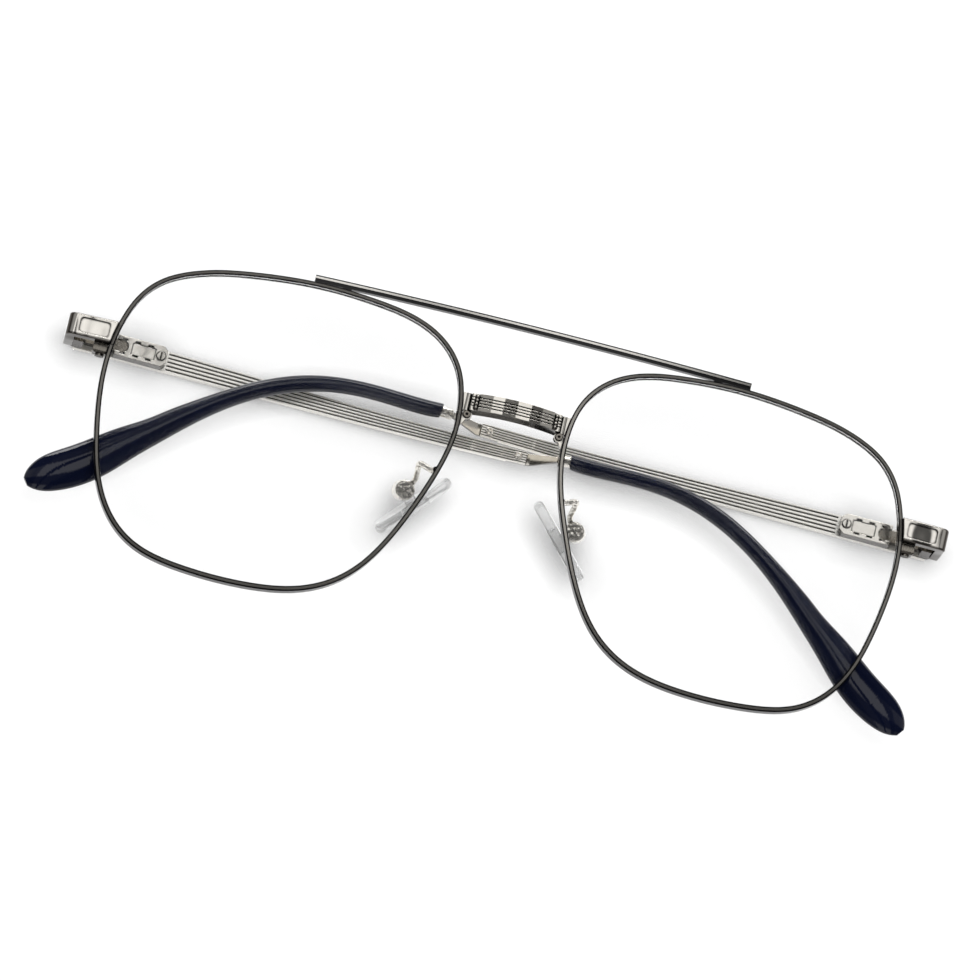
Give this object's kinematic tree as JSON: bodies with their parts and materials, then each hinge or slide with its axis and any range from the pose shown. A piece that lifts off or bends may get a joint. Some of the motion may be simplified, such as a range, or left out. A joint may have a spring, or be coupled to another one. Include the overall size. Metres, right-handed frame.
{
  "type": "double bridge glasses",
  "caption": "Folded metal double bridge glasses: squarish aviator lenses, straight top bar over a ribbed bridge, ribbed spring hinge temples, dark tips, clear nose pads",
  "frame": {"origin": "on the ground under the middle of the glasses, which lie face up with the temples folded beneath", "axes": "+X to the right, +Y to the top of the lenses, +Z out of the lenses' front"},
  "size_m": [0.1445, 0.0521, 0.0151],
  "materials": {
    "rim_metal": "black and grey lacquer over steel",
    "polished_metal": "plated, mirror polish",
    "temple_metal": "polished, ribbed",
    "metal": "plated",
    "lens": "clear, coated",
    "silicone": "clear silicone",
    "clear_plastic": "clear, moulded",
    "tip_plastic": "dark navy, glossy"
  },
  "bodies": {
    "front": {"bridge": "polished_metal", "top_bar": "rim_metal", "left_rim": "rim_metal", "left_lens": "lens", "left_endpiece": "polished_metal", "left_upper_closing_block": "metal", "left_lower_closing_block": "metal", "left_closing_screw": "metal", "left_endpiece_knuckles": "metal", "left_hinge_screw": "metal", "left_bridge_lug": "metal", "left_bridge_pin": "metal", "left_pad_arm": "metal", "left_pad_box": "metal", "left_pad_screw": "metal", "right_rim": "rim_metal", "right_lens": "lens", "right_endpiece": "polished_metal", "right_upper_closing_block": "metal", "right_lower_closing_block": "metal", "right_closing_screw": "metal", "right_endpiece_knuckles": "metal", "right_hinge_screw": "metal", "right_bridge_lug": "metal", "right_bridge_pin": "metal", "right_pad_arm": "metal", "right_pad_box": "metal", "right_pad_screw": "metal"},
    "left_hinge_carrier": {"left_hinge_slider": "metal"},
    "left_temple": {"left_spring_housing": "polished_metal", "left_spring": "metal", "left_retaining_screw": "metal", "left_temple_strip": "temple_metal", "left_rivet": "metal", "left_core_wire": "metal", "left_ferrule": "polished_metal", "left_temple_tip": "tip_plastic"},
    "left_pad": {"left_nose_pad": "silicone", "left_pad_insert": "clear_plastic"},
    "right_hinge_carrier": {"right_hinge_slider": "metal"},
    "right_temple": {"right_spring_housing": "polished_metal", "right_spring": "metal", "right_retaining_screw": "metal", "right_temple_strip": "temple_metal", "right_rivet": "metal", "right_core_wire": "metal", "right_ferrule": "polished_metal", "right_temple_tip": "tip_plastic"},
    "right_pad": {"right_nose_pad": "silicone", "right_pad_insert": "clear_plastic"}
  },
  "joints": [
    {"name": "left_temple_fold", "type": "hinge", "parent": "front", "child": "left_hinge_carrier", "pos_m": [-0.0696, 0.0097, 0.0022], "axis": [0.0192, 0.9998, 0], "range_deg": [0, 90]},
    {"name": "left_temple_flex", "type": "slide", "parent": "left_hinge_carrier", "child": "left_temple", "axis": [0.9998, -0.0192, 0], "range_m": [0, 0.0012], "stiffness_N_per_m": 2000, "deforming": ["left_spring"]},
    {"name": "left_pad_rock", "type": "hinge", "parent": "front", "child": "left_pad", "pos_m": [-0.014, -0.0026, 0.00465], "axis": [0.1941, -0.1712, 0.9659], "range_deg": [-8, 8]},
    {"name": "right_temple_fold", "type": "hinge", "parent": "front", "child": "right_hinge_carrier", "pos_m": [0.0696, 0.0097, 0.0022], "axis": [-0.0192, -0.9998, 0], "range_deg": [0, 90]},
    {"name": "right_temple_flex", "type": "slide", "parent": "right_hinge_carrier", "child": "right_temple", "axis": [-0.9998, 0.0192, 0], "range_m": [0, 0.0012], "stiffness_N_per_m": 2000, "deforming": ["right_spring"]},
    {"name": "right_pad_rock", "type": "hinge", "parent": "front", "child": "right_pad", "pos_m": [0.014, -0.0026, 0.00465], "axis": [-0.1941, -0.1712, 0.9659], "range_deg": [-8, 8]}
  ]
}
